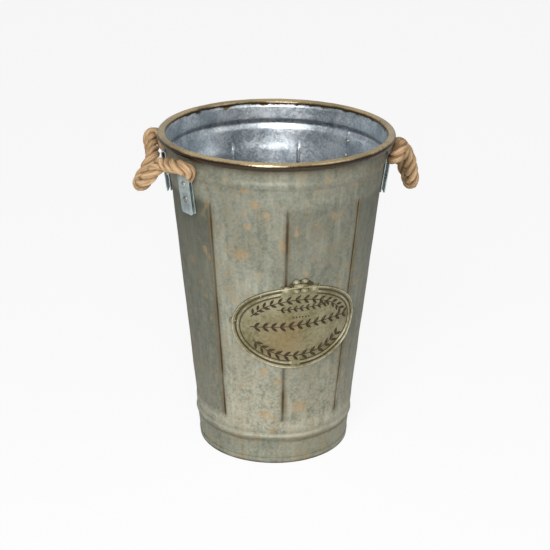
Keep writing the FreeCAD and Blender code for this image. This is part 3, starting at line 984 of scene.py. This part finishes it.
    def crest(self) -> None:
        """Builds the crest of rounded scrolls, the tabs beside it and the bumps at the tips."""
        shape = bmesh.new()
        head = self.middle + self.half_height
        self.pillow(shape, Vector((0.001, head - 0.001, 0.0003)), Vector((0.030, 0.018, 0.0009)))
        scrolls = ((-0.0044, 0.0056, 0.0092, 0.0060), (0.0050, 0.0060, 0.0092, 0.0060),
                   (0.0006, 0.0002, 0.0180, 0.0064), (-0.0044, -0.0056, 0.0100, 0.0064),
                   (0.0052, -0.0056, 0.0100, 0.0064))
        for across, up, long, wide in scrolls:
            self.pillow(shape, Vector((across, head + up, self.top)), Vector((long, wide, 0.0013)))
        for side in (-1, 1):
            turn = 0.001 + side * 0.0150
            self.pillow(shape, Vector((turn, head - 0.0042, self.top)), Vector((0.0115, 0.0100, 0.0012)))
            tab = [(turn - 0.0058, head + 0.0002, self.top), (turn - 0.0052, head - 0.0078, self.top),
                   (turn, head - 0.0100, self.top), (turn + 0.0052, head - 0.0078, self.top),
                   (turn + 0.0058, head + 0.0002, self.top)]
            self.ridge(shape, tab, 0.0009)
            tip = Vector((side * (self.half_width - 0.0005), self.middle + 0.004, self.top - 0.0004))
            self.pillow(shape, tip, Vector((0.0080, 0.0092, 0.0013)))
            ring = [tip + Vector((0.0032 * math.cos(a), 0.0037 * math.sin(a), 0.0008))
                    for a in (step * FULL_TURN / 12 for step in range(13))]
            self.ridge(shape, ring, 0.0006)
        self.finish_relief(shape, "plaque_crest", self.brass)

    def sprig(self, whole: bmesh.types.BMesh, stem: Callable[[float], Vector], pairs: int,
              scale: float) -> None:
        """Adds a stem with pairs of leaves.

        Args:
            whole: the bmesh that they go into.
            stem: flat place at each share of the way along, from 0 to 1.
            pairs: how many pairs of leaves it has.
            scale: size of the leaves.
        """
        shape = bmesh.new()
        self.ridge(shape, [stem(n / 8) + Vector((0, 0, self.top)) for n in range(9)], 0.00045)
        size = Vector((self.leaf_length, self.leaf_width, self.leaf_height)) * scale
        size.z = self.leaf_height
        for number in range(pairs):
            share = (number + 0.5) / pairs
            way = stem(min(share + 0.01, 1)) - stem(share - 0.01)
            heading = math.atan2(way.y, way.x)
            for side in (-1, 1):
                turn = heading + side * math.radians(38)
                lift = Vector((math.cos(turn), math.sin(turn), 0)) * size.x * 0.5
                spot = stem(share) + lift + Vector((0, 0, self.top - 0.0001))
                self.pillow(shape, spot, size, turn, pointed=0.7, ribbed=0.45)
        poured(shape, whole)

    def sprigs(self) -> None:
        """Builds the four sprigs and the row of berries."""
        shape = bmesh.new()
        short, long = self.middle + 0.0235, self.middle + 0.0005
        self.sprig(shape, lambda t: self.oval(self.bow, math.radians(158 - 136 * t)), 14, 0.78)
        self.sprig(shape, lambda t: Vector((-0.024 + 0.056 * t, short + 0.002 * t, 0)), 8, 0.58)
        self.sprig(shape, lambda t: Vector((-0.055 + 0.116 * t, long + 0.006 * t, 0)), 12, 0.86)
        self.sprig(shape, lambda t: self.oval(self.bow, math.radians(206 + 128 * t)), 12, 0.9)
        for number in range(6):
            berry = Vector((-0.006 + 0.0035 * number, self.middle + 0.0135, self.top))
            self.pillow(shape, berry, Vector((0.0020, 0.0020, 0.0008)))
        self.finish_relief(shape, "leaf_sprigs", self.leaf_brass)

    def pin_heads(self) -> None:
        """Builds the domed pins."""
        shape = bmesh.new()
        for across, height in self.pins:
            azimuth = math.degrees(across / self.skin.plain(self.middle))
            seat = self.skin.point(azimuth, height, self.top + 0.0004, creased=False)
            made = bmesh.ops.create_uvsphere(shape, u_segments=16, v_segments=10, radius=0.0013)
            bmesh.ops.scale(shape, verts=made["verts"], vec=(1, 1, 0.85))
            bmesh.ops.rotate(shape, verts=made["verts"], cent=(0, 0, 0),
                             matrix=outward(azimuth).to_track_quat("Z", "Y").to_matrix())
            bmesh.ops.translate(shape, verts=made["verts"], vec=seat)
        self.keep(shape, "domed_pins", (self.steel,), "rivet_steel", ("plaque_pins",))

    def build(self) -> None:
        """Builds every piece."""
        self.plate()
        self.crest()
        self.sprigs()
        self.pin_heads()


# -------------------------------------------------------------------------------- straps and ropes


class Wrap(Enum):
    """How a rope passes its strap, from between the leaves to where it swings free.

    Each point is (out from the wall, round the wall to the strap's outer edge, up).
    """

    TIGHT = ((0.0027, -0.005, -0.0046), (0.0027, 0.008, -0.0046), (0.0036, 0.0155, 0.0030),
             (0.0100, 0.0180, 0.0130), (0.0144, 0.011, 0.0160), (0.0144, 0.0, 0.0145),
             (0.0138, -0.012, 0.0108))
    SNUG = ((0.0027, -0.005, -0.0046), (0.0027, 0.009, -0.0046), (0.0042, 0.0185, -0.002),
            (0.0110, 0.023, 0.006), (0.0148, 0.014, 0.012), (0.0148, 0.002, 0.012),
            (0.0142, -0.012, 0.009))
    LOOSE = ((0.0027, -0.005, -0.0046), (0.0027, 0.009, -0.0046), (0.0046, 0.020, 0.0),
             (0.0100, 0.033, 0.009), (0.0210, 0.024, 0.017), (0.0185, 0.006, 0.0095),
             (0.0142, -0.012, 0.005))


@dataclass
class Strap(SubAssembly):
    """Hairpin strap on the wall, with its two rivets."""

    name: str
    azimuth: float
    side: int
    wrap: Wrap
    skin: Skin
    zinc: bpy.types.Material
    steel: bpy.types.Material
    top: float = 0.3504
    standoff: float = 0.00205
    lean: float = 2.1
    width: float = 0.020
    sheet: float = 0.0012
    gap: float = 0.003
    length: float = 0.0456
    rivets: tuple[float, ...] = (0.0106, 0.0282)
    head: tuple[float, float] = (0.0036, 0.0017)
    dimple: float = 0.0011
    tail: tuple[float, float] = (-0.0048, -0.0026)

    def seat(self) -> Matrix:
        """Place of the strap's own frame: X out, Y round the wall, Z up."""
        lean = math.atan(self.skin.slope) + math.radians(self.lean)
        away = self.skin.plain(self.top) + self.standoff
        spot = outward(self.azimuth) * away + Vector((0, 0, self.top))
        turn = Matrix.Rotation(math.radians(self.azimuth - 90), 4, "Z")
        return Matrix.Translation(spot) @ turn @ Matrix.Rotation(lean, 4, "Y")

    def route(self) -> list[Vector]:
        """Control points of the rope, from between the leaves to where it leaves the strap."""
        seat = self.seat()
        return [seat @ Vector((out, self.side * along, up)) for out, along, up in self.wrap.value]

    def upright(self) -> Vector:
        """Unit vector up the strap."""
        return self.seat().to_3x3() @ Vector((0, 0, 1))

    def leaf(self) -> None:
        """Builds the hairpin."""
        shape = bmesh.new()
        rise = 6
        geom = [shape.verts.new((self.sheet / 2, -self.width / 2, -self.length))]
        geom = pushed(shape, geom, (0, 0, self.length / rise), rise)
        middle = (self.sheet + self.gap / 2, -self.width / 2, 0)
        geom = rolled(shape, geom, middle, math.pi, 10)
        pushed(shape, geom, (0, 0, -self.length / rise), rise)
        pushed(shape, list(shape.verts) + list(shape.edges), (0, self.width / 8, 0), 8)
        bmesh.ops.remove_doubles(shape, verts=shape.verts, dist=1e-7)
        seat = self.seat()
        for vert in shape.verts:
            across = abs(vert.co.y) / (self.width / 2)
            if vert.co.z < -self.length + 1e-5 and across > 0.99:
                vert.co.z += 0.0016
            vert.co.x += noise.noise(vert.co * 90 + Vector((self.azimuth, 0, 0))) * 0.00012
            vert.co = seat @ vert.co
        bmesh.ops.recalc_face_normals(shape, faces=shape.faces)
        node = f"{self.name}_strap"
        piece = self.keep(shape, f"{self.name}_hairpin", (self.zinc,), "bright_zinc", (node,))
        self.thicken(piece, self.sheet, 0.0)
        self.soften(piece, 0.00028)

    def fasteners(self) -> None:
        """Builds the two blind rivets."""
        radius, tall = self.head
        foot, tail_top = self.tail
        face = 2 * self.sheet + self.gap
        hole = self.dimple
        turns = [math.radians(degrees) for degrees in (64, 50, 34, 18, 4)]
        dome = [(radius * math.cos(turn), face + tall * math.sin(turn)) for turn in turns]
        points = [(0, face + 0.0006), (hole * 0.85, face + 0.0006), (hole, face + tall * 0.75),
                  (hole * 1.15, face + tall * 0.97), *dome, (radius, face), (radius * 0.6, face),
                  (radius * 0.56, tail_top), (0.0030, tail_top), (0.0031, (foot + tail_top) / 2),
                  (0.0024, foot), (hole, foot), (hole * 0.9, foot + 0.0008), (0, foot + 0.0008)]
        shape = bmesh.new()
        for down in self.rivets:
            one = spun(outline(points), 40)
            lie = Matrix.Rotation(math.pi / 2, 3, "Y")
            bmesh.ops.rotate(one, verts=one.verts, cent=(0, 0, 0), matrix=lie)
            bmesh.ops.translate(one, verts=one.verts, vec=(0, 0, -down))
            poured(one, shape)
        bmesh.ops.transform(shape, matrix=self.seat(), verts=shape.verts)
        node = f"{self.name}_rivets"
        self.keep(shape, f"{self.name}_blind_rivets", (self.steel,), "rivet_steel", (node,), crease=50)

    def build(self) -> None:
        """Builds both pieces."""
        self.leaf()
        self.fasteners()


@dataclass
class RopeHandle(SubAssembly):
    """One rope of three strands: from inside its front strap, out round the handle, into its rear strap."""

    side: str
    front: Strap
    rear: Strap
    inner: tuple[Place, ...]
    length: float
    bend: tuple[float, float]
    jute: bpy.types.Material
    diameter: float = 0.014
    helix: float = 0.0036
    strand_radius: float = 0.0044
    pitch: float = 0.040
    spacing: float = 0.0008
    sides: int = 26
    flat: float = 0.17
    narrow: float = 0.56
    flat_run: float = 0.0150
    round_run: float = 0.0300
    yarns: int = 7
    threads: int = 17
    tufts: int = 35
    hairs: int = 20
    bare_end: float = 0.032

    def centreline(self) -> list[Vector]:
        """Ring centres, read from the rope's smooth line."""
        route = [*self.front.route(), *(Vector(p) for p in self.inner), *reversed(self.rear.route())]
        return evenly(line_through(route), self.spacing)

    def axes(self, line: Sequence[Vector]) -> list[tuple[Vector, Vector, Vector]]:
        """Direction and two cross directions at each ring, carried along without twisting."""
        ways = [(b - a).normalized() for a, b in zip(line, line[1:])]
        ways.append(ways[-1])
        across = ways[0].orthogonal().normalized()
        found = []
        for way in ways:
            across = (across - way * across.dot(way)).normalized()
            found.append((way, across, way.cross(across)))
        return found

    def crush(self, along: float, total: float, way: Vector) -> tuple[float, float, Vector]:
        """Flattening of the rope: thickness share, width share, and the thin direction."""
        strap, run = (self.front, along) if along < total / 2 else (self.rear, total - along)
        share = eased(run, self.flat_run, self.round_run)
        thin = way.cross(strap.upright()).normalized()
        return self.flat + (1 - self.flat) * share, self.narrow + (1 - self.narrow) * share, thin

    def lay(self, line: Sequence[Vector]) -> Callable[[float, float, float], tuple[Vector, Vector]]:
        """Makes the function that bends a straight rope along the line.

        Args:
            line: ring centres.

        Returns:
            A function of (distance along, angle round the rope, distance from its middle) that gives
            the point and the direction outwards.
        """
        axes = self.axes(line)
        total = self.spacing * (len(line) - 1)

        def place(along: float, angle: float, out: float) -> tuple[Vector, Vector]:
            """Point of the bent rope, and the way out from its middle."""
            ring = min(max(along / self.spacing, 0.0), len(line) - 1.001)
            index = int(ring)
            way, across, up = axes[index]
            centre = line[index].lerp(line[index + 1], ring - index)
            offset = (across * math.cos(angle) + up * math.sin(angle)) * out
            thick, wide, thin = self.crush(along, total, way)
            depth = offset.dot(thin)
            offset = (offset - thin * depth) * wide + thin * depth * thick
            return centre + offset, (across * math.cos(angle) + up * math.sin(angle)).normalized()

        return place

    def strand(self, number: int, rings: int,
               place: Callable[[float, float, float], tuple[Vector, Vector]]) -> bmesh.types.BMesh:
        """Makes one strand: a flat grid, rolled up and laid along the line.

        Args:
            number: which strand, 0 to 2.
            rings: how many rings the line has.
            place: the function that bends the rope.

        Returns:
            The strand, with its fibre and valley layers.
        """
        shape = bmesh.new()
        fibre = shape.verts.layers.float_vector.new("fibre")
        valley = shape.verts.layers.float.new("valley")
        core = self.strand_radius
        bmesh.ops.create_grid(shape, x_segments=rings - 1, y_segments=self.sides, size=0.5)
        for vert in shape.verts:
            along = (vert.co.x + 0.5) * (rings - 1) * self.spacing
            theta = vert.co.y * FULL_TURN
            twist = FULL_TURN * (along / self.pitch + number / 3)
            yarn = theta + FULL_TURN * along / (1.5 * self.pitch)
            lump = noise.noise(Vector((along * 160, number * 7.0, theta * 0.6))) * 0.09
            yarns = 0.055 * math.cos(self.yarns * yarn) + 0.03 * math.cos(self.threads * yarn)
            swell = core * (1 + yarns + lump)
            x = self.helix + swell * math.cos(theta)
            y = swell * math.sin(theta)
            out = math.hypot(x, y)
            vert[fibre] = (core * math.cos(yarn) + number * 0.05, core * math.sin(yarn), along * 0.07)
            # valley is 1 in the grooves between the strands, where the finish paints shade.
            vert[valley] = 1 - eased(out, self.helix * 1.4, self.helix * 1.95)
            vert.co = place(along, twist + math.atan2(y, x), out)[0]
        bmesh.ops.remove_doubles(shape, verts=shape.verts, dist=1e-7)
        bmesh.ops.holes_fill(shape, edges=shape.edges, sides=self.sides)
        bmesh.ops.recalc_face_normals(shape, faces=shape.faces)
        return shape

    def hair(self, shape: bmesh.types.BMesh, draw: random.Random, total: float,
             place: Callable[[float, float, float], tuple[Vector, Vector]]) -> None:
        """Adds one loose fibre that lifts off the rope."""
        along = draw.uniform(self.bare_end, total - self.bare_end)
        angle = draw.uniform(0, FULL_TURN)
        foot, out = place(along, angle, self.diameter / 2)
        ahead = place(along + 0.002, angle + 0.2, self.diameter / 2)[0]
        way = (ahead - foot).normalized() * draw.choice((-1, 1))
        heading = (way + out * draw.uniform(-0.05, 0.28)).normalized()
        axis = heading.cross(out).normalized()
        bend = draw.uniform(0.004, 0.010)
        arc = draw.uniform(0.3, 0.65)
        thin = draw.uniform(0.00007, 0.00014)
        ring = bmesh.ops.create_circle(shape, cap_ends=False, segments=3, radius=thin)
        turn = heading.to_track_quat("Z", "Y").to_matrix()
        bmesh.ops.rotate(shape, verts=ring["verts"], cent=(0, 0, 0), matrix=turn)
        bmesh.ops.translate(shape, verts=ring["verts"], vec=foot)
        edges = list({edge for vert in ring["verts"] for edge in vert.link_edges})
        centre = foot + heading.cross(axis) * -bend
        made = bmesh.ops.spin(shape, geom=[*ring["verts"], *edges], cent=centre, axis=axis, dvec=(0, 0, 0),
                              angle=-arc, steps=4)
        tip = [item for item in made["geom_last"] if isinstance(item, bmesh.types.BMVert)]
        bmesh.ops.pointmerge(shape, verts=tip, merge_co=sum((v.co for v in tip), Vector()) / len(tip))

    def build(self) -> None:
        line = self.centreline()
        total = self.spacing * (len(line) - 1)
        place = self.lay(line)
        shape = bmesh.new()
        for number in range(3):
            poured(self.strand(number, len(line), place), shape)
        draw = random.Random(f"{self.side} rope")
        for _ in range(self.tufts):
            fluff = bmesh.new()
            for _ in range(self.hairs):
                self.hair(fluff, draw, total, place)
            bmesh.ops.recalc_face_normals(fluff, faces=fluff.faces)
            poured(fluff, shape)
        nodes = (f"{self.front.name}_rope_end", f"{self.side}_rope_handle", f"{self.rear.name}_rope_end")
        rope = self.keep(shape, f"{self.side}_twisted_rope", (self.jute,), "jute_rope", nodes, None, 60)
        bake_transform(rope)
        LOG.info("%s rope: %.3f m", self.side, sum((b - a).length for a, b in zip(line, line[1:])))


# ---------------------------------------------------------------------------------------- the room


@dataclass(frozen=True)
class Lamp:
    """A square lamp that points at the bucket; its turn is counted from the camera's azimuth."""

    name: str
    turn: float
    elevation: float
    distance: float
    size: float
    power: float


@dataclass
class Studio:
    """Camera, lamps, floor and background."""

    azimuth: float = -14.5
    elevation: float = 21.98
    distance: float = 1.666
    target: float = 0.2016
    lens: float = 92.72
    roll: float = 0.63
    sensor: float = 36
    sky: float = 0.18
    mirrored: float = 0.22
    glow: float = 0.9
    floor_tone: Colour = tone(248, 248, 248)
    floor_radius: float = 9.0
    lamps: tuple[Lamp, ...] = (
        Lamp("key", -7, 34, 2.0, 1.0, 37),
        Lamp("fill", 60, 40, 2.4, 1.4, 5),
    )

    def camera(self) -> None:
        """Places the camera."""
        rise = math.radians(self.elevation)
        away = outward(self.azimuth) * math.cos(rise) + Vector((0, 0, math.sin(rise)))
        data = bpy.data.cameras.new("camera")
        data.lens = self.lens
        data.sensor_width = self.sensor
        camera = bpy.data.objects.new("camera", data)
        aim = (-away).to_track_quat("-Z", "Y").to_matrix().to_4x4()
        spot = Matrix.Translation(Vector((0, 0, self.target)) + away * self.distance)
        camera.matrix_world = spot @ aim @ Matrix.Rotation(math.radians(self.roll), 4, "Z")
        bpy.context.scene.collection.objects.link(camera)
        bpy.context.scene.camera = camera

    def hang(self, lamp: Lamp) -> None:
        """Hangs a lamp."""
        data = bpy.data.lights.new(lamp.name, "AREA")
        data.size = lamp.size
        data.energy = lamp.power
        rise = math.radians(lamp.elevation)
        level = outward(self.azimuth + lamp.turn) * math.cos(rise)
        away = level + Vector((0, 0, math.sin(rise)))
        hung = bpy.data.objects.new(lamp.name, data)
        spot = Matrix.Translation(Vector((0, 0, self.target)) + away * lamp.distance)
        hung.matrix_world = spot @ (-away).to_track_quat("-Z", "Y").to_matrix().to_4x4()
        bpy.context.scene.collection.objects.link(hung)

    def floor(self) -> None:
        """Lays the pale floor, which keeps the bucket's shadow."""
        made, g = fresh_material("pale_floor")
        rays = g.node("ShaderNodeLightPath", output="Is Camera Ray")
        plain = g.node("ShaderNodeBsdfDiffuse", None, {"Color": self.floor_tone})
        glow = g.node("ShaderNodeEmission", None, {"Color": (1, 1, 1, 1), "Strength": 1.0})
        mixed = g.node("ShaderNodeMixShader", None, {0: rays * self.glow, 1: plain, 2: glow})
        g.end("ShaderNodeOutputMaterial", mixed)
        shape = bmesh.new()
        bmesh.ops.create_circle(shape, cap_ends=True, segments=96, radius=self.floor_radius)
        mesh = bpy.data.meshes.new("floor")
        shape.to_mesh(mesh)
        shape.free()
        mesh.materials.append(made)
        floor = bpy.data.objects.new("floor", mesh)
        bpy.context.scene.collection.objects.link(floor)

    def background(self) -> None:
        """White to the camera, grey in reflections, and a dimmer grey for all other light."""
        world = bpy.data.worlds.new("studio")
        world.use_nodes = True
        bpy.context.scene.world = world
        g = Graph(world.node_tree)
        rays = g.node("ShaderNodeLightPath", output="Is Camera Ray")
        rays = rays.over(g.node("ShaderNodeLightPath", output="Is Glossy Ray") * self.mirrored)
        strength = rays * (1 - self.sky) + self.sky
        light = g.node("ShaderNodeBackground", None, {"Color": (1, 1, 1, 1), "Strength": strength})
        g.end("ShaderNodeOutputWorld", light)

    def build(self) -> None:
        """Sets up everything."""
        bpy.context.scene.view_settings.view_transform = "Standard"
        self.camera()
        for lamp in self.lamps:
            self.hang(lamp)
        self.floor()
        self.background()


def main() -> None:
    """Builds the bucket, piece by piece."""
    logging.basicConfig(level=logging.INFO, format="%(name)s: %(message)s")
    Studio().build()
    skin = Skin()
    zinc = PatinaZinc().material(skin)
    inside = SpangledZinc().material()
    strap_zinc = BrightMetal("bright_zinc", tone(150, 164, 164), tone(206, 220, 220), 0.26).material()
    steel = BrightMetal("rivet_steel", tone(120, 116, 108), tone(190, 188, 182), 0.22).material()
    wire = BrightMetal("steel_wire", tone(90, 84, 74), tone(140, 134, 124), 0.35).material()
    jute = Jute().material()
    seats = {
        "left_front": (-65.7, 1, Wrap.TIGHT),
        "left_rear": (-107.7, -1, Wrap.LOOSE),
        "right_front": (79.6, -1, Wrap.SNUG),
        "right_rear": (121.6, 1, Wrap.TIGHT),
    }
    straps = {name: Strap(name, *place, skin, strap_zinc, steel) for name, place in seats.items()}
    left = ((-0.138, -0.032, 0.360), (-0.158, -0.026, 0.333), (-0.159, 0.002, 0.326),
            (-0.139, 0.014, 0.350))
    right = ((0.148, -0.006, 0.353), (0.161, 0.003, 0.336), (0.171, 0.013, 0.302), (0.172, 0.027, 0.293),
             (0.174, 0.042, 0.300), (0.168, 0.051, 0.318), (0.158, 0.057, 0.333))
    for side, inner, length, bend in (("left", left, 0.27, (-0.135, -0.156)),
                                      ("right", right, 0.32, (0.140, 0.160))):
        ends = straps[f"{side}_front"], straps[f"{side}_rear"]
        RopeHandle(side, *ends, inner, length, bend, jute).build()
    BucketBody(skin, zinc, inside, AgedBrass().material(), wire).build()
    Plaque(skin, PlaqueBrass().material(skin), PlaqueBrass(leaf=True).material(skin), steel).build()
    for strap in straps.values():
        strap.build()


if __name__ == "__main__":
    main()
